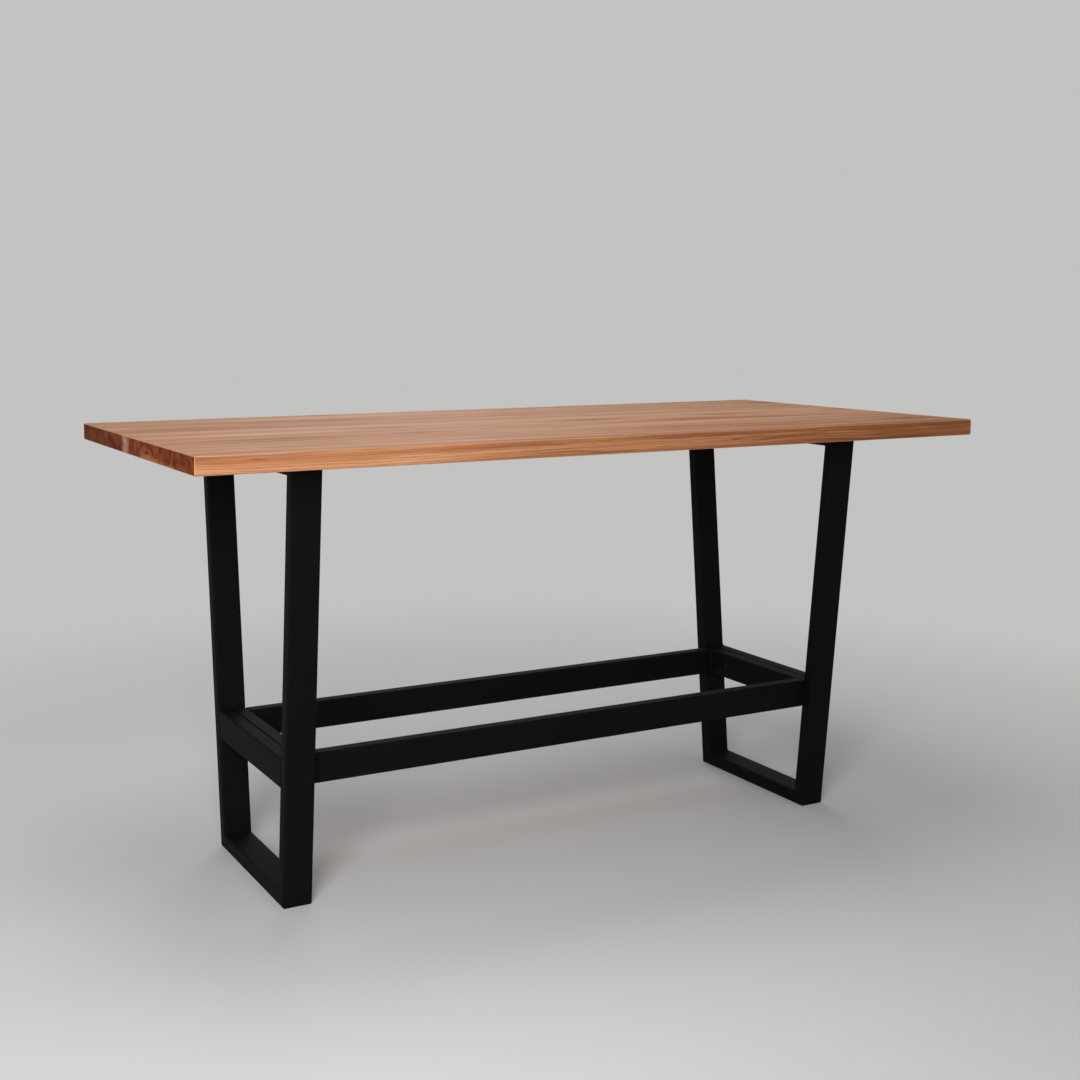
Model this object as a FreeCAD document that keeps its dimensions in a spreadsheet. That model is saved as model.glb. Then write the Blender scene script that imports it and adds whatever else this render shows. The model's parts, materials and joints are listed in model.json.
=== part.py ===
import FreeCAD, Part
import os
import Sketcher

# Pub table: an edge-glued timber top on two mitred tube end frames, tied together by a bolted tube footrest.
# Millimetres. +X runs along the table, +Y to its rear, +Z up. The origin is on the floor, under the middle.

DRIVING_SIZES = (
    ("table_height", 1050, "floor to the top surface"),
    ("top_length", 2050, "of every board, along X"),
    ("top_thickness", 40, "of every board"),
    ("board_1_width", 78, "rear board"),
    ("board_2_width", 156, "second board from the rear"),
    ("board_3_width", 150, "third board"),
    ("board_4_width", 158, "fourth board"),
    ("board_5_width", 145, "fifth board"),
    ("board_6_width", 119, "sixth board"),
    ("board_7_width", 144, "front board"),
    ("arris", 3, "rounding of the top's outer edges"),
    ("end_overhang", 255, "top past the outer side of an end frame"),
    ("side_overhang", 150, "top past the head of a leg"),
    ("foot_inset", 100, "foot of a leg in from its head"),
    ("tube_depth", 70, "long side of the tube's section"),
    ("tube_width", 35, "short side of the tube's section"),
    ("top_bar_height", 30, "of the top bars, which are a shallower tube"),
    ("tube_wall", 2.5, "wall of the tube"),
    ("tube_corner", 5, "outer corner radius of the tube"),
    ("footrest_height", 345, "floor to the top of the foot rails"),
    ("slip_gap", 0.5, "between the footrest's end bars and the legs they pass between"),
    ("thread", 8, "diameter of every screw"),
    ("thread_gap", 0.1, "all round a thread in its nut, washer or insert"),
    ("bolt_gap", 0.5, "all round a bolt in its hole"),
    ("timber_play", 2, "all round a screw in the top bar, so that the boards can swell and shrink"),
    ("socket_across", 5, "hexagon socket, across its flats"),
    ("socket_depth", 2.6, "of every socket"),
    ("head_width", 15, "widest diameter of a screw head"),
    ("crown_width", 11, "flat on a screw head"),
    ("head_height", 4.4, "of every screw head"),
    ("bolt_spacing", 240, "between the two bolts at each end of the footrest"),
    ("bolt_end", 1.5, "thread that stands past the nut"),
    ("nut_across", 13, "across the flats of a nut"),
    ("nut_height", 6.5, "of a nut"),
    ("screw_spacing", 200, "between the three screws along a top bar"),
    ("washer_width", 24, "outer diameter of a washer"),
    ("washer_thickness", 2, "of a washer"),
    ("access_gap", 1, "all round a washer in the hole that it is put in by"),
    ("insert_width", 12, "outer diameter of a threaded insert"),
    ("insert_length", 20, "of a threaded insert"),
    ("insert_gap", 0.1, "all round an insert in its hole"),
    ("insert_floor", 2, "hole depth left past an insert"),
)
BOARDS = range(1, 8)
SIDES = (("left", -1), ("right", 1))
ENDS = (("front", -1), ("rear", 1))
SCREW_STEPS = (-1, 0, 1)
BOLT_STEPS = (-1, 1)
TOUCHING = 0.01
UPRIGHT = FreeCAD.Rotation()
ACROSS_TABLE = FreeCAD.Rotation(FreeCAD.Vector(1, 0, 0), 90)
ALONG_TABLE = FreeCAD.Rotation(FreeCAD.Vector(0, 1, 0), 90)

# Sizes that follow from the driving ones. The legs lean: slope is their run per rise, and stretch is their
# length per rise. A mitre is how much shorter a tube's inner face is than its outer face at that corner.
WORKED_SIZES = [
    ("underside", "Sizes.table_height - Sizes.top_thickness"),
    ("top_width", " + ".join(f"Sizes.board_{number}_width" for number in BOARDS)),
    ("frame_half", "Sizes.top_length / 2 - Sizes.end_overhang"),
    ("head_half", "top_width / 2 - Sizes.side_overhang"),
    ("base_half", "head_half - Sizes.foot_inset"),
    ("slope", "Sizes.foot_inset / underside"),
    ("stretch", "sqrt(1 + slope ^ 2)"),
    ("foot_mitre", "Sizes.tube_width * (stretch - slope)"),
    ("head_mitre", "Sizes.top_bar_height * stretch + Sizes.tube_width * slope"),
    ("leg_half", "underside * stretch / 2"),
    ("leg_foot", "leg_half - foot_mitre"),
    ("leg_head", "leg_half - head_mitre"),
    ("leg_lean", "atan(slope)"),
    ("leg_x", "frame_half - Sizes.tube_depth / 2"),
    ("leg_y", "(head_half + base_half) / 2"),
    ("base_inner_half", "base_half - foot_mitre"),
    ("head_inner_half", "head_half - Sizes.tube_width * stretch - Sizes.top_bar_height * slope"),
    ("clear_at_floor", "base_half - Sizes.tube_width * stretch"),
    ("crossbar_top_half", "clear_at_floor + slope * Sizes.footrest_height"),
    ("crossbar_low_half", "crossbar_top_half - slope * Sizes.tube_depth"),
    ("crossbar_x", "frame_half - Sizes.tube_width / 2"),
    ("end_top_half", "crossbar_top_half - Sizes.slip_gap"),
    ("end_low_half", "crossbar_low_half - Sizes.slip_gap"),
    ("end_width", "Sizes.tube_depth - Sizes.tube_width"),
    ("rail_half", "frame_half - Sizes.tube_depth"),
    ("end_x", "rail_half + end_width / 2"),
    ("nut_x", "rail_half + end_width + Sizes.tube_wall"),
    ("bolt_z", "Sizes.footrest_height - Sizes.tube_depth / 2"),
    ("bolt_hole", "Sizes.thread + 2 * Sizes.bolt_gap"),
    ("bolt_length", "end_width + Sizes.tube_wall + Sizes.nut_height + Sizes.bolt_end"),
    ("threaded_bore", "Sizes.thread + 2 * Sizes.thread_gap"),
    ("screw_hole", "Sizes.thread + 2 * Sizes.timber_play"),
    ("access_hole", "Sizes.washer_width + 2 * Sizes.access_gap"),
    ("washer_z", "underside - Sizes.tube_wall - Sizes.washer_thickness"),
    ("screw_length", "Sizes.washer_thickness + Sizes.tube_wall + Sizes.insert_length"),
    ("insert_hole", "Sizes.insert_width + 2 * Sizes.insert_gap"),
    ("insert_hole_depth", "Sizes.insert_length + Sizes.insert_floor"),
    ("board_0_front", "top_width / 2"),
]
for number in BOARDS:
    WORKED_SIZES.append((f"board_{number}_front", f"board_{number - 1}_front - Sizes.board_{number}_width"))

doc = FreeCAD.newDocument("pub_table")
sizes = doc.addObject("Spreadsheet::Sheet", "Sizes")
for row, (name, number, note) in enumerate(DRIVING_SIZES, 1):
    sizes.set(f"A{row}", name)
    sizes.set(f"B{row}", str(number))
    sizes.setAlias(f"B{row}", name)
    sizes.set(f"C{row}", note)
worked = doc.addObject("Spreadsheet::Sheet", "Worked")
for row, (name, formula) in enumerate(WORKED_SIZES, 1):
    worked.set(f"A{row}", name)
    worked.setAlias(f"B{row}", name)
    worked.set(f"B{row}", "=" + formula)
doc.recompute()

finished = {}


def number_of(expression):
    """The present value of an expression, to start a sketch's points near their solved places."""
    value = sizes.evalExpression(expression)
    return float(getattr(value, "Value", value))


def bind(thing, **expressions):
    """Ties properties to expressions. Two underlines stand for the dot in a property's path."""
    for path, expression in expressions.items():
        thing.setExpression(path.replace("__", "."), expression)


def put(thing, rotation, x="0", y="0", z="0"):
    """Turns a thing and ties its place to expressions."""
    thing.Placement = FreeCAD.Placement(FreeCAD.Vector(), rotation)
    bind(thing, Placement__Base__x=x, Placement__Base__y=y, Placement__Base__z=z)


def runs_along(edge, direction):
    return edge.tangentAt(edge.FirstParameter).cross(direction).Length < TOUCHING


def signed(sign, expression):
    return expression if sign > 0 else f"-({expression})"


def new_sketch(body, name, role):
    sketch = body.newObject("Sketcher::SketchObject", name)
    plane = next(feature for feature in body.Origin.OriginFeatures if feature.Role == role)
    sketch.AttachmentSupport = (plane, [""])
    sketch.MapMode = "FlatFace"
    return sketch


def dimension(sketch, name, kind, first, second, expression):
    """A named distance between two sketch points, tied to an expression."""
    index = sketch.addConstraint(Sketcher.Constraint(kind, *first, *second, number_of(expression)))
    sketch.renameConstraint(index, name)
    sketch.setExpression(f"Constraints.{name}", expression)


def tube(label, outer_half, inner_low, inner_high, across, deep, side):
    """A straight tube along the body's Z, its outer face on the XZ plane, its inner face on the given side.

    Each end is cut from the outer face to the inner one, so the three lengths set the mitres.
    """
    body = doc.addObject("PartDesign::Body", label)
    outline = new_sketch(body, label + "_outline", "YZ_Plane")
    half, low, high = number_of(outer_half), number_of(inner_low), number_of(inner_high)
    inner = side * number_of(across)
    corners = [(0, -half), (0, half), (inner, high), (inner, -low)]
    points = [FreeCAD.Vector(*corner, 0) for corner in corners]
    for index, point in enumerate(points):
        outline.addGeometry(Part.LineSegment(point, points[(index + 1) % len(points)]))
    for index in range(len(points)):
        outline.addConstraint(Sketcher.Constraint("Coincident", index, 2, (index + 1) % len(points), 1))
    origin, axis = (-1, 1), -2
    outline.addConstraint(Sketcher.Constraint("PointOnObject", 0, 1, axis))
    outline.addConstraint(Sketcher.Constraint("PointOnObject", 0, 2, axis))
    outline.addConstraint(Sketcher.Constraint("Vertical", 2))
    dimension(outline, "outer_low", "DistanceY", (0, 1), origin, outer_half)
    dimension(outline, "outer_high", "DistanceY", origin, (0, 2), outer_half)
    dimension(outline, "inner_high", "DistanceY", origin, (2, 1), inner_high)
    dimension(outline, "inner_low", "DistanceY", (2, 2), origin, inner_low)
    dimension(outline, "across", "DistanceX", origin, (2, 1), signed(side, across))

    bar = body.newObject("PartDesign::Pad", label + "_bar")
    bar.Profile = outline
    bar.SideType = "Symmetric"
    bind(bar, Length=deep)
    doc.recompute()
    long_edges = [
        f"Edge{index}"
        for index, edge in enumerate(bar.Shape.Edges, 1)
        if runs_along(edge, FreeCAD.Vector(0, 0, 1))
    ]
    corner = body.newObject("PartDesign::Fillet", label + "_corner")
    corner.Base = (bar, long_edges)
    bind(corner, Radius="Sizes.tube_corner")
    doc.recompute()
    end_faces = [
        f"Face{index}"
        for index, face in enumerate(corner.Shape.Faces, 1)
        if isinstance(face.Surface, Part.Plane) and abs(face.normalAt(0, 0).z) > TOUCHING
    ]
    wall = body.newObject("PartDesign::Thickness", label + "_wall")
    wall.Base = (corner, end_faces)
    wall.Join = "Intersection"
    bind(wall, Value="Sizes.tube_wall")
    doc.recompute()
    finished[label] = body
    return body


def drill(body, name, role, width, centres, side_type="One side", reverse=False, depth="0"):
    """Round holes through a body, from a plane that lies at a depth behind one of its origin planes."""
    sketch = new_sketch(body, f"{body.Name}_{name}_centres", role)
    bind(sketch, AttachmentOffset__Base__z=depth)
    for index, (across, along) in enumerate(centres):
        middle = FreeCAD.Vector(number_of(across), number_of(along), 0)
        sketch.addGeometry(Part.Circle(middle, FreeCAD.Vector(0, 0, 1), number_of(width) / 2))
        origin, centre = (-1, 1), (index, 3)
        dimension(sketch, f"across_{index}", "DistanceX", origin, centre, across)
        dimension(sketch, f"along_{index}", "DistanceY", origin, centre, along)
        ring = sketch.addConstraint(Sketcher.Constraint("Diameter", index, number_of(width)))
        sketch.renameConstraint(ring, f"width_{index}")
        sketch.setExpression(f"Constraints.width_{index}", width)
    before = body.Shape.Volume
    hole = body.newObject("PartDesign::Pocket", f"{body.Name}_{name}")
    hole.Profile = sketch
    hole.Type = "ThroughAll"
    hole.SideType = side_type
    hole.Reversed = reverse
    doc.recompute()
    if body.Shape.Volume >= before:
        raise ValueError(f"{hole.Name} cuts nothing")


def cylinder(name, width, height):
    rod = doc.addObject("Part::Cylinder", name)
    bind(rod, Radius=f"({width}) / 2", Height=height)
    return rod


def hexagon(name, across, height):
    prism = doc.addObject("Part::Prism", name)
    prism.Polygon = 6
    bind(prism, Circumradius=f"({across}) / sqrt(3)", Height=height)
    return prism


def cut(name, base, tool):
    result = doc.addObject("Part::Cut", name)
    result.Base = base
    result.Tool = tool
    return result


def ring(name, solid, bore, height):
    """A solid with a round hole along its axis."""
    return cut(name, solid, cylinder(name + "_bore", bore, height))


def screw(name, length):
    """A button-head socket screw. Its seat is at z 0, its thread runs up and its head hangs below."""
    shank = cylinder(name + "_shank", "Sizes.thread", length)
    head = doc.addObject("Part::Cone", name + "_head")
    bind(head, Radius1="Sizes.crown_width / 2", Radius2="Sizes.head_width / 2", Height="Sizes.head_height")
    bind(head, Placement__Base__z="-Sizes.head_height")
    blank = doc.addObject("Part::Fuse", name + "_blank")
    blank.Base = shank
    blank.Tool = head
    socket = hexagon(name + "_socket", "Sizes.socket_across", "Sizes.socket_depth")
    bind(socket, Placement__Base__z="-Sizes.head_height")
    return cut(name, blank, socket)


def group(label, master, places):
    """Copies of one fastener, a separate solid at each place."""
    copies = []
    for index, (rotation, x, y, z) in enumerate(places, 1):
        copy = doc.addObject("App::Link", f"{label}_{index}")
        copy.LinkedObject = master
        put(copy, rotation, x, y, z)
        copies.append(copy)
    together = doc.addObject("Part::Compound", label)
    together.Links = copies
    return together


def end_frame(side_name, side):
    """One end frame: base bar, top bar and two leaning legs, mitred into a trapezoid, with a crossbar."""
    leg_x = signed(side, "Worked.leg_x")
    for end_name, end in ENDS:
        leg = tube(f"{side_name}_{end_name}_leg", "Worked.leg_half", "Worked.leg_foot", "Worked.leg_head",
                   "Sizes.tube_width", "Sizes.tube_depth", -end)
        put(leg, ACROSS_TABLE, leg_x, signed(end, "Worked.leg_y"), "Worked.underside / 2")
        bind(leg, Placement__Rotation__Angle=signed(-end, "Worked.leg_lean"))

    base = tube(f"{side_name}_base_bar", "Worked.base_half", "Worked.base_inner_half",
                "Worked.base_inner_half", "Sizes.tube_width", "Sizes.tube_depth", 1)
    put(base, ACROSS_TABLE, leg_x)

    head = tube(f"{side_name}_top_bar", "Worked.head_half", "Worked.head_inner_half",
                "Worked.head_inner_half", "Sizes.top_bar_height", "Sizes.tube_depth", -1)
    screws = [("0", f"{step} * Sizes.screw_spacing") for step in SCREW_STEPS]
    middle = "Sizes.top_bar_height / 2"
    drill(head, "screw_holes", "XZ_Plane", "Worked.screw_hole", screws, depth=middle)
    drill(head, "access_holes", "XZ_Plane", "Worked.access_hole", screws, reverse=True, depth=middle)
    put(head, ACROSS_TABLE, leg_x, z="Worked.underside")

    bolts = [("-Sizes.tube_depth / 2", f"{step} * Sizes.bolt_spacing / 2") for step in BOLT_STEPS]
    crossbar = tube(f"{side_name}_crossbar", "Worked.crossbar_top_half", "Worked.crossbar_low_half",
                    "Worked.crossbar_low_half", "Sizes.tube_depth", "Sizes.tube_width", -1)
    drill(crossbar, "bolt_holes", "YZ_Plane", "Worked.bolt_hole", bolts, reverse=side < 0)
    put(crossbar, ACROSS_TABLE, signed(side, "Worked.crossbar_x"), z="Sizes.footrest_height")

    end_bar = tube(f"{side_name}_footrest_end", "Worked.end_top_half", "Worked.end_low_half",
                   "Worked.end_low_half", "Sizes.tube_depth", "Worked.end_width", -1)
    drill(end_bar, "bolt_holes", "YZ_Plane", "Worked.bolt_hole", bolts, side_type="Symmetric")
    put(end_bar, ACROSS_TABLE, signed(side, "Worked.end_x"), z="Sizes.footrest_height")


def foot_rail(end_name, end):
    """A long rail of the footrest. Its outer face lines up with the top corners of the two end bars."""
    rail = tube(f"{end_name}_foot_rail", "Worked.rail_half", "Worked.rail_half", "Worked.rail_half",
                "Sizes.tube_width", "Sizes.tube_depth", -end)
    put(rail, ALONG_TABLE, y=signed(end, "Worked.end_top_half"), z="Worked.bolt_z")


def board(number, holes):
    """One board of the top. Edges on the outside of the top are rounded, and glued edges stay square."""
    label = f"top_board_{number}"
    body = doc.addObject("PartDesign::Body", label + "_plank")
    plank = body.newObject("PartDesign::AdditiveBox", label + "_blank")
    bind(plank, Length="Sizes.top_length", Width=f"Sizes.board_{number}_width", Height="Sizes.top_thickness")
    doc.recompute()
    box = plank.Shape.BoundBox
    outer_sides = {BOARDS[0]: [box.YMax], BOARDS[-1]: [box.YMin]}.get(number, [])
    chosen = []
    for index, edge in enumerate(plank.Shape.Edges, 1):
        outside = any(abs(edge.CenterOfMass.y - y) < TOUCHING for y in outer_sides)
        if outside or runs_along(edge, FreeCAD.Vector(0, 1, 0)):
            chosen.append(f"Edge{index}")
    rounding = body.newObject("PartDesign::Fillet", label + "_arris")
    rounding.Base = (plank, chosen)
    bind(rounding, Radius="Sizes.arris")
    put(body, UPRIGHT, "-Sizes.top_length / 2", f"Worked.board_{number}_front", "Worked.underside")
    finished[label] = cut(label, body, holes)


insert_places = []
screw_places = []
bolt_places = []
nut_places = []
for side_name, side in SIDES:
    for step in SCREW_STEPS:
        under_top = (UPRIGHT, signed(side, "Worked.leg_x"), f"{step} * Sizes.screw_spacing")
        insert_places.append((*under_top, "Worked.underside"))
        screw_places.append((*under_top, "Worked.washer_z"))
    outwards = FreeCAD.Rotation(FreeCAD.Vector(0, 1, 0), 90 * side)
    for step in BOLT_STEPS:
        along_bar = (f"{step} * Sizes.bolt_spacing / 2", "Worked.bolt_z")
        bolt_places.append((outwards, signed(side, "Worked.rail_half"), *along_bar))
        nut_places.append((outwards, signed(side, "Worked.nut_x"), *along_bar))

insert_tool = cylinder("insert_hole", "Worked.insert_hole", "Worked.insert_hole_depth")
insert_holes = group("insert_holes", insert_tool, insert_places)
for number in BOARDS:
    board(number, insert_holes)
for side_name, side in SIDES:
    end_frame(side_name, side)
for end_name, end in ENDS:
    foot_rail(end_name, end)

insert_body = cylinder("insert_body", "Sizes.insert_width", "Sizes.insert_length")
insert = ring("insert", insert_body, "Worked.threaded_bore", "Sizes.insert_length")
washer_body = cylinder("washer_body", "Sizes.washer_width", "Sizes.washer_thickness")
washer = ring("washer", washer_body, "Worked.threaded_bore", "Sizes.washer_thickness")
nut_body = hexagon("nut_body", "Sizes.nut_across", "Sizes.nut_height")
nut = ring("nut", nut_body, "Worked.threaded_bore", "Sizes.nut_height")
top_screw = screw("top_screw", "Worked.screw_length")
footrest_bolt = screw("footrest_bolt", "Worked.bolt_length")

finished["top_inserts"] = group("top_inserts", insert, insert_places)
finished["top_washers"] = group("top_washers", washer, screw_places)
finished["top_screws"] = group("top_screws", top_screw, screw_places)
finished["footrest_bolts"] = group("footrest_bolts", footrest_bolt, bolt_places)
finished["footrest_nuts"] = group("footrest_nuts", nut, nut_places)

doc.recompute()
failed = [thing.Name for thing in doc.Objects if "Invalid" in thing.State or "Error" in thing.State]
failed += [label for label, thing in finished.items() if thing.Shape.isNull() or not thing.Shape.isValid()]
if failed:
    raise ValueError(f"not built: {failed}")

os.makedirs("parts", exist_ok=True)
for label, thing in finished.items():
    thing.Label = label
    thing.Shape.exportStep(f"parts/{label}.step")
    print(f"{label}: {len(thing.Shape.Solids)} solids, {thing.Shape.Volume / 1000:.1f} cubic cm")
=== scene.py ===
import json
import math

import bmesh
import bpy
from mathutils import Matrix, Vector


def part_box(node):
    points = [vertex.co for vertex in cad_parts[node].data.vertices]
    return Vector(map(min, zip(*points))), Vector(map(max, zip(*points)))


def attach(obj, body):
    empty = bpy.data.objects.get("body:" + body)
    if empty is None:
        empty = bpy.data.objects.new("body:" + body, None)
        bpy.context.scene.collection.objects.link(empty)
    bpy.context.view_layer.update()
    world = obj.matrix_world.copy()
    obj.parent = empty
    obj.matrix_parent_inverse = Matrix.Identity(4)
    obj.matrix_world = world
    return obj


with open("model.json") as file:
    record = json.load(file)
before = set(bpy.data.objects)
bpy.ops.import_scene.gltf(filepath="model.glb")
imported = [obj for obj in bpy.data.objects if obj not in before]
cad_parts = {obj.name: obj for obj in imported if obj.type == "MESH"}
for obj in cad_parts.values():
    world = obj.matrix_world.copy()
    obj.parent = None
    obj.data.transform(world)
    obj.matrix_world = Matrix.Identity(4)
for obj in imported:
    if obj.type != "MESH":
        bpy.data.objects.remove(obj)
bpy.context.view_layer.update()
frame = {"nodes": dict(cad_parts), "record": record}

# The camera that was fitted to the photograph's outlines, for a square picture.
CAMERA_PLACE = (-1.8492, -3.2709, 1.3336)
CAMERA_TURN_DEG = (84.365, 0.025, -27.971)
CAMERA_LENS = 49.461
CAMERA_SENSOR = 36
CAMERA_SHIFT = (0.0411, -0.0784)

# The backdrop is seen at full strength, and lights the object with a share of it.
BACKGROUND = (0.545, 0.545, 0.535, 1.0)
SKY_SHARE = 0.42

# A round floor, which fades into the backdrop between two distances from the middle of the table.
FLOOR_COLOUR = (0.66, 0.66, 0.66, 1.0)
FLOOR_ROUGHNESS = 0.85
FLOOR_GLOSS = 0.1
FLOOR_SIDES = 96
FLOOR_RADIUS = 60
FLOOR_PLACE = (0, 0, -0.0003)
FLOOR_FADE = (0.9, 3.2)

# Round lamps: name, place, the point that each aims at, diameter and power.
LAMPS = (
    ("key", (-2.4, -3.1, 1.8), (-1.9, -0.2, 0.9), 2.0, 146),
    ("fill", (3.4, -2.6, 2.6), (0.2, 0.0, 0.7), 2.6, 6),
    ("top", (-0.15, 0.2, 3.4), (-0.15, 0.0, 1.0), 2.0, 27),
    ("back", (1.2, 3.3, 3.4), (0.0, 0.0, 0.9), 2.6, 36),
)

# Timber tones, from the dark heart to the pale early wood of a board of middling colour.
TIMBER_HEART = (0.190, 0.060, 0.020)
TIMBER_DARK = (0.292, 0.106, 0.040)
TIMBER_MIDDLE = (0.468, 0.212, 0.100)
TIMBER_PALE = (0.614, 0.350, 0.196)
TIMBER_LATE = (0.262, 0.088, 0.034)
TIMBER_VEIN = (0.130, 0.040, 0.017)
END_DARK = (0.082, 0.011, 0.003)
END_PALE = (0.252, 0.058, 0.015)
SAP = (0.590, 0.350, 0.255)
SAP_WARM = (0.480, 0.210, 0.080)

# Where the tones stand along the sum of the patterns, on the long faces and on the ends.
FACE_TONES = ((0.27, TIMBER_HEART), (0.38, TIMBER_DARK), (0.50, TIMBER_MIDDLE), (0.61, TIMBER_PALE))
END_TONES = ((0.37, END_DARK), (0.63, END_PALE))

# On the ends the glue lines behind this place are pale, and the others dark.
PALE_SEAM = (0.420, 0.200, 0.110)
PALE_SEAMS_BEHIND = 0.15
SEAM_EDGE = (0.0001, 0.0007)
SEAM_STRENGTH = 0.60

# One row per board, rear to front: seed of its pattern, brightness, redness, brightness of the ends, centre of
# the log off the board's middle across and up, growth ring width, where a streak of sapwood runs across the
# board, and how high a paler foot of sapwood stands above the underside. All lengths are in metres.
BOARD_LOOKS = (
    (1, 1.02, 0.92, 0.93, 0.060, -0.110, 0.0042, None, None),
    (2, 1.09, 0.94, 1.07, -0.150, -0.060, 0.0050, None, None),
    (3, 0.95, 0.99, 1.09, 0.040, -0.085, 0.0046, None, None),
    (4, 1.14, 0.94, 1.58, -0.190, 0.050, 0.0040, 0.048, None),
    (5, 1.03, 0.99, 1.56, 0.020, -0.130, 0.0055, None, 0.015),
    (6, 0.94, 1.02, 1.17, 0.160, 0.090, 0.0044, None, 0.010),
    (8, 0.98, 1.03, 1.10, 0.030, -0.170, 0.0044, None, None),
)

# How far a board's patterns move for each step of its seed.
SEED_STEP = (11.3, 5.7, 3.1)

# How the grain bends off straight lines: the size of a bend along each axis, and how far it goes.
BENDS = (
    ((1.1, 0.4, 0.4), (0.0, 0.034, 0.034)),
    ((0.26, 0.11, 0.11), (0.0, 0.007, 0.009)),
)

# Growth rings: how fast they widen along the log, how uneven they are, where in a ring the late wood starts and
# ends, and the width of the bands of like-toned rings.
LOG_TAPER = 0.006
RING_UNEVENNESS = 0.005
LATE_WOOD = (0.35, 0.9)
BAND_WIDTH = 0.017

# Noise patterns of the timber: the size of a feature along the grain, across it and upwards, its detail, and for
# patterns that come and go, the levels of noise between which they come.
PATTERNS = {
    "unevenness": ((0.25, 0.02, 0.02), 2.0, None),
    "broad": ((1.5, 0.055, 0.055), 2.0, None),
    "streaks": ((0.6, 0.016, 0.016), 3.0, None),
    "figure": ((0.20, 0.024, 0.024), 2.0, (0.61, 0.76)),
    "threads": ((0.32, 0.0030, 0.0030), 2.0, (0.54, 0.74)),
    "fibres": ((0.05, 0.0011, 0.0011), 2.0, None),
    "pores": ((0.018, 0.0007, 0.0007), 1.0, (0.58, 0.70)),
    "vein level": ((0.85, 0.045, 0.016), 1.0, None),
    "vein places": ((0.40, 0.035, 0.020), 1.0, (0.42, 0.62)),
    "flames": ((0.42, 0.0052, 0.0052), 3.0, None),
    "dots": ((0.02, 0.0010, 0.0010), 1.0, (0.52, 0.70)),
    "mottle": ((0.3, 0.034, 0.034), 2.0, None),
    "sap edge": ((0.3, 0.016, 0.022), 3.0, None),
    "foot edge": ((0.5, 0.03, 0.012), 2.0, None),
}

# Veins follow the level lines of one pattern, at this spacing of its levels, and fade over these.
VEIN_SPACING = 0.055
VEIN_EDGE = (0.002, 0.020)

# Dark and pale streaks that show on the photographed top: place along the table and across it, half length, half
# width, and the change of tone. A streak belongs to the board on which its middle lies.
# Two dark streaks at the right end of the front boards, marked below, are partly painted shade.
STREAKS_AND_SHADE = (
    (-0.45, 0.436, 0.65, 0.060, 0.03),
    (0.21, 0.414, 0.08, 0.020, -0.10),
    (-0.45, 0.378, 0.65, 0.036, 0.06),
    (-0.62, 0.283, 0.52, 0.046, -0.10),
    (-0.41, 0.260, 0.20, 0.034, -0.11),
    (0.05, 0.280, 0.40, 0.034, -0.07),
    (0.99, 0.330, 0.16, 0.056, -0.14),
    (-0.84, 0.188, 0.36, 0.054, -0.09),
    (0.00, 0.215, 0.60, 0.024, -0.06),
    (0.10, -0.018, 1.00, 0.010, -0.05),
    (-0.43, -0.010, 0.14, 0.034, -0.13),
    (-0.76, -0.045, 0.36, 0.026, 0.07),
    (0.14, -0.026, 0.23, 0.040, -0.18),
    (0.57, -0.016, 0.18, 0.034, -0.15),
    (1.00, -0.010, 0.14, 0.042, -0.15),
    (0.62, 0.066, 0.28, 0.024, 0.06),
    (0.40, -0.108, 0.28, 0.050, -0.17),
    (0.64, -0.135, 0.18, 0.038, -0.11),
    (0.35, -0.198, 0.62, 0.020, 0.08),
    (-0.73, -0.186, 0.34, 0.038, -0.13),
    (-0.42, -0.180, 0.18, 0.032, -0.10),
    (0.35, -0.222, 0.64, 0.017, 0.07),
    (0.24, -0.292, 0.48, 0.042, -0.06),
    (-0.73, -0.231, 0.32, 0.024, -0.11),
    (0.30, -0.354, 0.55, 0.036, -0.06),
    # Partly painted shade: this dark streak at the right end of the front board also stands in for less light
    # falling there.
    (0.91, -0.362, 0.24, 0.046, -0.14),
    (-0.87, -0.375, 0.16, 0.042, 0.06),
    (-0.75, -0.472, 0.55, 0.030, 0.03),
    # Partly painted shade: this dark streak along the right of the front edge is partly timber tone and partly
    # less light towards the right end.
    (0.85, -0.472, 0.80, 0.032, -0.13),
)

# How strongly the flames of the grain break up a streak, and over which distance from its middle it ends.
FLAME_REACH = 2.6
STREAK_EDGE = (1.35, 2.20)

# Ragged edges of the sapwood: how far they wander, and over which distance the sapwood ends.
SAP_WANDER = 0.060
SAP_EDGE = (0.016, 0.078)
FOOT_WANDER = 0.020
FOOT_EDGE = 0.012

# A surface counts as square to an axis between these parts of its normal, and as a rounded arris below them.
SQUARE_ON = (0.80, 0.97)
ARRIS = (0.75, 0.97)
# Strength of the painted highlight: the rounded arris is mixed towards the pale timber tone, as if it caught the
# light.
ARRIS_HIGHLIGHT_STRENGTH = 0.55

# The least roughness, the gloss, and the depth and strength of the relief.
TIMBER_ROUGHNESS = 0.52
TIMBER_GLOSS = 0.16
TIMBER_RELIEF = (0.00025, 0.6)
COAT_ROUGHNESS = 0.54
COAT_GLOSS = 0.05
COAT_RELIEF = (0.0003, 0.35)
STEEL_RELIEF = (0.0001, 0.3)

# Powder coat: its tones, and the feature size and detail of its patterns.
COAT_DARK = (0.0022, 0.0022, 0.0024, 1.0)
COAT_PALE = (0.0042, 0.0042, 0.0044, 1.0)
COAT_CLOUD = (0.12, 3.0)
COAT_GRIT = (0.0016, 2.0)
COAT_PEEL = (0.007, 2.0)

# Dust lies where the surface faces up, between these parts of its normal, and more where the pattern is cloudy.
DUST = (0.009, 0.009, 0.009, 1.0)
DUST_FACING = (0.6, 0.95)
DUST_CLOUD = (0.35, 0.75)
DUST_STRENGTH = (0.05, 0.35)

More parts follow.
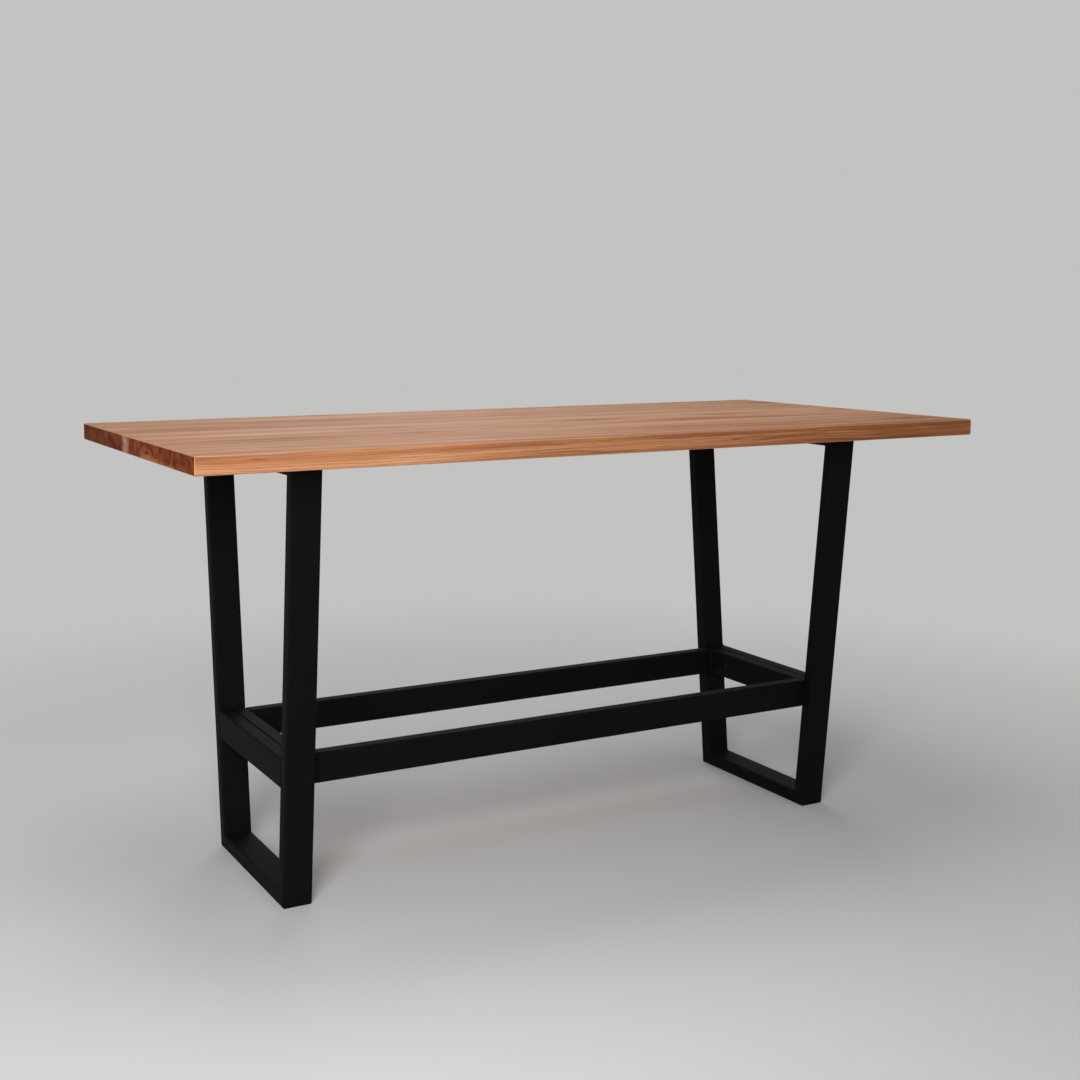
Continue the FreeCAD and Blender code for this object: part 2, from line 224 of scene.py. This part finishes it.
# Steel finishes: dark and pale tone of the plating, and the least roughness.
STEELS = {
    "black_steel": ((0.010, 0.010, 0.011), (0.024, 0.024, 0.026), 0.40),
    "zinc_steel": ((0.50, 0.51, 0.53), (0.68, 0.69, 0.70), 0.25),
}
STEEL_CLOUD = (0.006, 3.0)
STEEL_MARKS = (0.0004, 0.004, 0.0004)

# Weld beads: the leg of the fillet, the length of one ripple and the steps in it, the points across the bead, and
# how far its ends stay inside the edges of the tubes, on the end frames and on the footrest.
WELD_LEG = 0.0034
WELD_RIPPLE = 0.0031
WELD_STEPS = 4
WELD_POINTS = 7
FRAME_WELD_INSET = 0.003
FOOTREST_WELD_INSET = 0.004

# Shape of a bead: how much a ripple swells, how much the ends shrink, how deep the root lies, how flat the face
# is between round and straight, and how far a ripple bows along the bead.
WELD_SWELL = 0.16
WELD_SHRINK = 0.55
WELD_ROOT = 0.3
WELD_FLATNESS = 0.6
WELD_BOW = 0.45


class Surface:
    """A material under construction. A value may be a number, a vector, a colour or another node's output."""

    def __init__(self, name):
        self.material = bpy.data.materials.new(name)
        self.material.use_nodes = True
        self.nodes = self.material.node_tree.nodes
        self.links = self.material.node_tree.links
        self.shader = self.nodes["Principled BSDF"]
        self.place = self.node("TexCoord").outputs["Object"]

    def feed(self, socket, value):
        if isinstance(value, bpy.types.NodeSocket):
            self.links.new(value, socket)
        else:
            socket.default_value = value

    def node(self, kind, *values, **settings):
        made = self.nodes.new("ShaderNode" + kind)
        for key, value in settings.items():
            setattr(made, key, value)
        for socket, value in zip(made.inputs, values):
            self.feed(socket, value)
        return made

    def math(self, operation, *values):
        return self.node("Math", *values, operation=operation).outputs[0]

    def total(self, start, *terms):
        """The start plus each value times its share."""
        for value, share in terms:
            start = self.math("ADD", start, self.math("MULTIPLY", value, share))
        return start

    def vector(self, operation, *values):
        return self.node("VectorMath", *values, operation=operation).outputs["Vector"]

    def length(self, value):
        return self.node("VectorMath", value, operation="LENGTH").outputs["Value"]

    def parts(self, value):
        return self.node("SeparateXYZ", value).outputs

    def facing(self):
        return self.parts(self.node("NewGeometry").outputs["Normal"])

    def noise(self, place, size, detail=2.0, output=0):
        """Soft noise from 0 to 1 with features of the given size along each axis, in metres."""
        made = self.node("TexNoise")
        self.feed(made.inputs["Vector"], self.vector("DIVIDE", place, size))
        made.inputs["Scale"].default_value = 1.0
        made.inputs["Detail"].default_value = detail
        return made.outputs[output]

    def even_noise(self, size, detail):
        return self.noise(self.place, (size, size, size), detail)

    def ripple(self, distance, size, detail):
        """Noise along one measure."""
        made = self.node("TexNoise", noise_dimensions="1D")
        self.feed(made.inputs["W"], self.math("DIVIDE", distance, size))
        made.inputs["Scale"].default_value = 1.0
        made.inputs["Detail"].default_value = detail
        return made.outputs[0]

    def rise(self, value, low, high, least=0.0, most=1.0):
        """A smooth step from least to most as the value goes from low to high."""
        made = self.node("MapRange", value, low, high, least, most, interpolation_type="SMOOTHSTEP")
        return made.outputs[0]

    def mix(self, share, first, second):
        made = self.node("Mix", data_type="RGBA")
        self.feed(made.inputs["Factor"], share)
        self.feed(made.inputs[6], first)
        self.feed(made.inputs[7], second)
        return made.outputs[2]

    def stain(self, colour, pattern, strength, tone):
        """The colour with a tone laid over it where the pattern is."""
        return self.mix(self.math("MULTIPLY", pattern, strength), colour, (*tone, 1.0))

    def ramp(self, value, stops):
        made = self.node("ValToRGB", value)
        made.color_ramp.interpolation = "EASE"
        elements = made.color_ramp.elements
        while len(elements) < len(stops):
            elements.new(0.5)
        for element, (position, colour) in zip(elements, stops):
            element.position = position
            element.color = (*colour, 1.0)
        return made.outputs[0]

    def bump(self, height, distance, strength):
        made = self.node("Bump")
        self.feed(made.inputs["Height"], height)
        made.inputs["Distance"].default_value = distance
        made.inputs["Strength"].default_value = strength
        self.feed(self.shader.inputs["Normal"], made.outputs[0])

    def finish(self, **values):
        for name, value in values.items():
            self.feed(self.shader.inputs[name.replace("_", " ")], value)
        return self.material


class Timber(Surface):
    """Solid timber for one board: growth rings about the centre of its own log, so faces and ends agree."""

    def __init__(self, number):
        super().__init__(f"timber_{number}")
        seed, self.brightness, self.redness, self.end_brightness, *rest = BOARD_LOOKS[number - 1]
        *log, ring, self.sap_across, self.foot = rest
        self.number = number
        self.low, self.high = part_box(f"top_board_{number}")
        self.middle = (self.low + self.high) / 2
        _, self.across, self.up = self.parts(self.place)
        self.turned = [self.math("ABSOLUTE", part) for part in self.facing()]
        self.is_end = self.rise(self.turned[0], *SQUARE_ON)
        self.bend(seed)
        self.grow(log, ring)
        self.fibres = self.pattern("fibres")
        self.pores = self.pattern("pores")

    def pattern(self, name):
        size, detail, levels = PATTERNS[name]
        noise = self.noise(self.own, size, detail)
        return self.rise(noise, *levels) if levels else noise

    def tinted(self, tone, brightness=None):
        red, green, blue = tone
        brightness = brightness or self.brightness
        return (red * brightness * self.redness, green * brightness, blue * brightness / self.redness)

    def edge_or_top(self, edge, top):
        """One value on upright faces, and another on the top and the underside."""
        return self.rise(self.turned[2], *SQUARE_ON, edge, top)

    def face_or_end(self, face, end):
        """One value on the long faces, and another on the ends."""
        return self.rise(self.is_end, 0.0, 1.0, face, end)

    def bend(self, seed):
        """The board's own coordinates for its patterns, bent as the grain is."""
        straight = self.vector("ADD", self.place, [step * seed for step in SEED_STEP])
        bends = []
        for size, reach in BENDS:
            off = self.vector("SUBTRACT", self.noise(straight, size, 1.0, output=1), (0.5, 0.5, 0.5))
            bends.append(self.vector("MULTIPLY", off, reach))
        self.wander = self.vector("ADD", *bends)
        self.own = self.vector("ADD", straight, self.wander)

    def grow(self, log, ring):
        """Growth rings: their late wood, and bands of like-toned rings."""
        pith = (0.0, self.middle.y + log[0], self.middle.z + log[1])
        from_pith = self.vector("ADD", self.vector("SUBTRACT", self.place, pith), self.wander)
        radius = self.length(self.vector("MULTIPLY", from_pith, (LOG_TAPER, 1.0, 1.0)))
        radius = self.total(radius, (self.pattern("unevenness"), RING_UNEVENNESS))
        turn = self.math("FRACT", self.math("DIVIDE", radius, ring))
        start, end = LATE_WOOD
        late = self.rise(turn, start, end)
        self.late = self.math("MULTIPLY", late, self.rise(turn, end, 1.0, 1.0, 0.0))
        self.bands = self.ripple(radius, BAND_WIDTH, 2.0)

    def streaked_and_shaded(self, tone):
        """The tone with the board's listed streaks: pointed shapes, broken up by the flames of the grain."""
        flames = self.math("MULTIPLY", self.pattern("flames"), FLAME_REACH)
        bent = self.vector("ADD", self.place, self.wander)
        # Two of these streaks, at the right end of the front boards, are partly painted shade that darkens the
        # tone where less light falls.
        for along, beside, half_length, half_width, change in STREAKS_AND_SHADE:
            if self.low.y < beside < self.high.y:
                off = self.vector("SUBTRACT", bent, (along, beside, 0.0))
                off = self.vector("DIVIDE", off, (half_length, half_width, 1.0))
                lengthwise, sideways, _ = self.parts(off)
                off = self.total(self.math("ABSOLUTE", lengthwise), (sideways, sideways))
                off = self.math("ADD", off, flames)
                tone = self.math("ADD", tone, self.rise(off, *STREAK_EDGE, change, 0.0))
        return tone

    def face_colour(self):
        tone = self.total(
            0.0,
            (self.fibres, 0.10),
            (self.pattern("broad"), 0.24),
            (self.bands, 0.34),
            (self.pattern("streaks"), 0.32),
        )
        stops = [(stop, self.tinted(shade)) for stop, shade in FACE_TONES]
        colour = self.ramp(self.streaked_and_shaded(tone), stops)
        veins = self.math("PINGPONG", self.pattern("vein level"), VEIN_SPACING)
        veins = self.math("MULTIPLY", self.rise(veins, *VEIN_EDGE, 1.0, 0.0), self.pattern("vein places"))
        for pattern, strength, shade in (
            (self.pattern("figure"), 0.48, self.tinted(TIMBER_DARK)),
            (self.late, 0.42, self.tinted(TIMBER_LATE)),
            (self.pattern("threads"), self.edge_or_top(0.45, 0.32), self.tinted(TIMBER_LATE)),
            (self.pores, 0.35, TIMBER_LATE),
            (veins, self.edge_or_top(0.60, 0.24), TIMBER_VEIN),
        ):
            colour = self.stain(colour, pattern, strength, shade)
        return colour

    def end_colour(self):
        tone = self.total(0.0, (self.fibres, 0.15), (self.bands, 0.38), (self.pattern("mottle"), 0.47))
        stops = [(stop, self.tinted(shade, self.end_brightness)) for stop, shade in END_TONES]
        colour = self.ramp(tone, stops)
        colour = self.stain(colour, self.late, 0.24, END_DARK)
        return self.stain(colour, self.pattern("dots"), 0.35, END_DARK)

    def with_sapwood(self, face, end):
        """Both colours with the board's streak or foot of sapwood, which shows most on the ends."""
        if self.sap_across is not None:
            off = self.math("SUBTRACT", self.across, self.middle.y + self.sap_across)
            off = self.total(self.math("ABSOLUTE", off), (self.pattern("sap edge"), SAP_WANDER))
            sap = self.rise(off, *SAP_EDGE, 1.0, 0.0)
            end = self.stain(end, sap, 0.90, SAP)
            face = self.stain(face, sap, 0.25, SAP)
        if self.foot is not None:
            above = self.math("SUBTRACT", self.up, self.low.z)
            above = self.total(above, (self.pattern("foot edge"), FOOT_WANDER))
            sap = self.rise(above, self.foot, self.foot + FOOT_EDGE, 1.0, 0.0)
            end = self.stain(end, sap, 0.65, SAP_WARM)
            face = self.stain(face, sap, 0.30, SAP)
        return face, end

    def with_painted_arris_highlight(self, colour):
        # Painted highlight: the rounded arris is mixed towards the pale tone, as if it caught the light.
        squareness = self.math("MAXIMUM", *self.turned[1:])
        squareness = self.math("MAXIMUM", self.turned[0], squareness)
        arris = self.rise(squareness, *ARRIS, ARRIS_HIGHLIGHT_STRENGTH, 0.0)
        return self.mix(arris, colour, (*self.tinted(TIMBER_PALE), 1.0))

    def with_glue_lines(self, colour):
        front_glued = self.number < len(BOARD_LOOKS)
        rear_glued = self.number > 1
        for seam, glued in ((self.low.y, front_glued), (self.high.y, rear_glued)):
            if glued:
                gap = self.math("ABSOLUTE", self.math("SUBTRACT", self.across, seam))
                gap = self.math("MULTIPLY", gap, self.face_or_end(1.0, 0.4))
                line = self.rise(gap, *SEAM_EDGE, SEAM_STRENGTH, 0.0)
                line = self.math("MULTIPLY", line, self.face_or_end(0.85, 1.0))
                on_end = PALE_SEAM if seam > PALE_SEAMS_BEHIND else TIMBER_VEIN
                glue = self.mix(self.is_end, (*TIMBER_VEIN, 1.0), (*on_end, 1.0))
                colour = self.mix(line, colour, glue)
        return colour

    def finished(self):
        colours = self.with_sapwood(self.face_colour(), self.end_colour())
        colour = self.with_painted_arris_highlight(self.mix(self.is_end, *colours))
        roughness = self.total(TIMBER_ROUGHNESS, (self.fibres, 0.14), (self.is_end, 0.30))
        self.bump(self.total(0.0, (self.fibres, 0.35), (self.pores, -0.65)), *TIMBER_RELIEF)
        return self.finish(
            Base_Color=self.with_glue_lines(colour),
            Roughness=roughness,
            Specular_IOR_Level=TIMBER_GLOSS,
        )


def powder_coat():
    """Matt black powder coat: a fine orange peel, faintly uneven gloss, and a little dust on what faces up."""
    s = Surface("powder_coat")
    cloud = s.even_noise(*COAT_CLOUD)
    grit = s.even_noise(*COAT_GRIT)
    peel = s.even_noise(*COAT_PEEL)
    upward = s.rise(s.facing()[2], *DUST_FACING)
    dust = s.math("MULTIPLY", upward, s.rise(cloud, *DUST_CLOUD, *DUST_STRENGTH))
    colour = s.mix(dust, s.mix(cloud, COAT_DARK, COAT_PALE), DUST)
    roughness = s.total(COAT_ROUGHNESS, (cloud, 0.14), (grit, 0.06))
    s.bump(s.total(peel, (grit, 0.5)), *COAT_RELIEF)
    return s.finish(Base_Color=colour, Roughness=roughness, Specular_IOR_Level=COAT_GLOSS)


def plain_steel(name, dark, pale, roughness):
    """Turned and plated steel: fine marks and a faintly cloudy plating."""
    s = Surface(name)
    cloud = s.even_noise(*STEEL_CLOUD)
    s.bump(s.noise(s.place, STEEL_MARKS), *STEEL_RELIEF)
    colour = s.mix(cloud, (*dark, 1.0), (*pale, 1.0))
    return s.finish(Base_Color=colour, Roughness=s.total(roughness, (cloud, 0.15)), Metallic=1.0)


def backdrop_strength(tree, socket):
    """Full strength where the backdrop is seen, also by reflection, and a share where it lights the object."""
    rays = tree.nodes.new("ShaderNodeLightPath").outputs
    seen = rays["Is Camera Ray"]
    for kind in ("Is Glossy Ray", "Is Transmission Ray"):
        either = tree.nodes.new("ShaderNodeMath")
        either.operation = "MAXIMUM"
        tree.links.new(seen, either.inputs[0])
        tree.links.new(rays[kind], either.inputs[1])
        seen = either.outputs[0]
    strength = tree.nodes.new("ShaderNodeMapRange")
    strength.inputs["To Min"].default_value = SKY_SHARE
    tree.links.new(seen, strength.inputs["Value"])
    tree.links.new(strength.outputs[0], socket)


def lay_floor():
    """A pale floor that fades into the backdrop."""
    bpy.ops.mesh.primitive_circle_add(
        vertices=FLOOR_SIDES, radius=FLOOR_RADIUS, fill_type="NGON", location=FLOOR_PLACE
    )
    floor = bpy.context.object
    floor.name = "floor"
    s = Surface("floor")
    s.finish(Base_Color=FLOOR_COLOUR, Roughness=FLOOR_ROUGHNESS, Specular_IOR_Level=FLOOR_GLOSS)
    far = s.node("Emission")
    far.inputs["Color"].default_value = BACKGROUND
    backdrop_strength(s.material.node_tree, far.inputs["Strength"])
    blend = s.node("MixShader", s.rise(s.length(s.place), *FLOOR_FADE))
    s.feed(blend.inputs[1], s.shader.outputs[0])
    s.feed(blend.inputs[2], far.outputs[0])
    s.feed(s.nodes["Material Output"].inputs["Surface"], blend.outputs[0])
    floor.data.materials.append(s.material)


def add_to_scene(name, data):
    made = bpy.data.objects.new(name, data)
    bpy.context.scene.collection.objects.link(made)
    return made


def studio():
    """The floor, a soft grey sky, broad lamps and the camera."""
    scene = bpy.context.scene
    scene.view_settings.view_transform = "Standard"
    scene.world = bpy.data.worlds.new("studio")
    scene.world.use_nodes = True
    sky = scene.world.node_tree.nodes["Background"]
    sky.inputs["Color"].default_value = BACKGROUND
    backdrop_strength(scene.world.node_tree, sky.inputs["Strength"])
    lay_floor()

    for name, place, aim, diameter, power in LAMPS:
        light = bpy.data.lights.new(name, "AREA")
        light.shape = "DISK"
        light.size = diameter
        light.energy = power
        lamp = add_to_scene(name, light)
        lamp.location = place
        lamp.rotation_euler = (Vector(aim) - Vector(place)).to_track_quat("-Z", "Y").to_euler()

    view = bpy.data.cameras.new("camera")
    view.lens = CAMERA_LENS
    view.sensor_width = CAMERA_SENSOR
    view.shift_x, view.shift_y = CAMERA_SHIFT
    camera = add_to_scene("camera", view)
    camera.location = CAMERA_PLACE
    camera.rotation_euler = [math.radians(turn) for turn in CAMERA_TURN_DEG]
    scene.camera = camera


def bead(mesh, start, end, first, second):
    """A rippled fillet weld from start to end, in the corner of two faces that run off as first and second."""
    run = end - start
    steps = WELD_STEPS * round(run.length / WELD_RIPPLE)
    bow = run.normalized() * WELD_RIPPLE * WELD_BOW
    rings = []
    for step in range(steps + 1):
        ripple = (step % WELD_STEPS) / (WELD_STEPS - 1)
        swell = 1.0 + WELD_SWELL * ripple - WELD_SHRINK * (step in (0, steps))
        centre = start + run * step / steps
        ring = [mesh.verts.new(centre - (first + second) * WELD_LEG * WELD_ROOT)]
        for point in range(WELD_POINTS):
            angle = math.radians(90 * point / (WELD_POINTS - 1))
            reach = WELD_FLATNESS / (math.cos(angle) + math.sin(angle)) + 1 - WELD_FLATNESS
            spread = first * math.cos(angle) + second * math.sin(angle)
            outwards = spread * WELD_LEG * reach * swell
            ring.append(mesh.verts.new(centre + outwards + bow * math.sin(2 * angle)))
        rings.append(ring)
    for here, there in zip(rings, rings[1:]):
        for index in range(len(here)):
            after = (index + 1) % len(here)
            mesh.faces.new((here[index], here[after], there[after], there[index]))
    mesh.faces.new(rings[0])
    mesh.faces.new(reversed(rings[-1]))


def weld_piece(name, beads, material):
    """One piece out of all the beads of a welded frame."""
    mesh = bmesh.new()
    for ends_and_sides in beads:
        bead(mesh, *ends_and_sides)
    bmesh.ops.recalc_face_normals(mesh, faces=mesh.faces)
    for face in mesh.faces:
        face.smooth = True
    data = bpy.data.meshes.new(name)
    mesh.to_mesh(data)
    mesh.free()
    data.materials.append(material)
    piece = add_to_scene(name, data)
    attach(piece, "root")


def frame_welds(material):
    """Beads in the inner corners of both end frames, where bars meet the leaning legs."""
    head_low, head_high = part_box("right_top_bar")
    _, base_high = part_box("right_base_bar")
    cross_low, cross_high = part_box("right_crossbar")
    slope = (head_high.y - base_high.y) / head_high.z
    leg_width = base_high.z * math.sqrt(1 + slope * slope)
    for name, side in (("left", -1), ("right", 1)):
        beads = []
        for end in (-1, 1):
            up = Vector((0, end * slope, 1)).normalized()
            inwards = Vector((0, -end, 0))
            for z, near, far, leg in (
                (base_high.z, head_low.x, head_high.x, up),
                (head_low.z, head_low.x, head_high.x, -up),
                (cross_high.z, cross_low.x, cross_high.x, up),
                (cross_low.z, cross_low.x, cross_high.x, -up),
            ):
                y = end * (base_high.y + slope * z - leg_width)
                reaches = (near + FRAME_WELD_INSET, far - FRAME_WELD_INSET)
                ends = [Vector((side * x, y, z)) for x in reaches]
                beads.append((*ends, inwards, leg))
        weld_piece(f"{name}_frame_welds", beads, material)


def footrest_welds(material):
    """Beads in the four inner corners of the footrest."""
    beads = []
    for end, rail in ((-1, "front_foot_rail"), (1, "rear_foot_rail")):
        low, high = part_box(rail)
        y = high.y if end < 0 else low.y
        for side, x in ((-1, low.x), (1, high.x)):
            heights = (low.z + FOOTREST_WELD_INSET, high.z - FOOTREST_WELD_INSET)
            ends = [Vector((x, y, z)) for z in heights]
            beads.append((*ends, Vector((-side, 0, 0)), Vector((0, -end, 0))))
    weld_piece("footrest_welds", beads, material)


def paint(node, material):
    """Gives a CAD node one material all over."""
    slots = frame["nodes"][node].data.materials
    slots.clear()
    slots.append(material)


coat = powder_coat()
finishes = {"powder_coat": coat}
for name, look in STEELS.items():
    finishes[name] = plain_steel(name, *look)
for part in frame["record"]["subparts"]:
    if part["material_slot"] in finishes:
        paint(part["node"], finishes[part["material_slot"]])
for number in range(1, len(BOARD_LOOKS) + 1):
    paint(f"top_board_{number}", Timber(number).finished())
frame_welds(coat)
footrest_welds(coat)
studio()
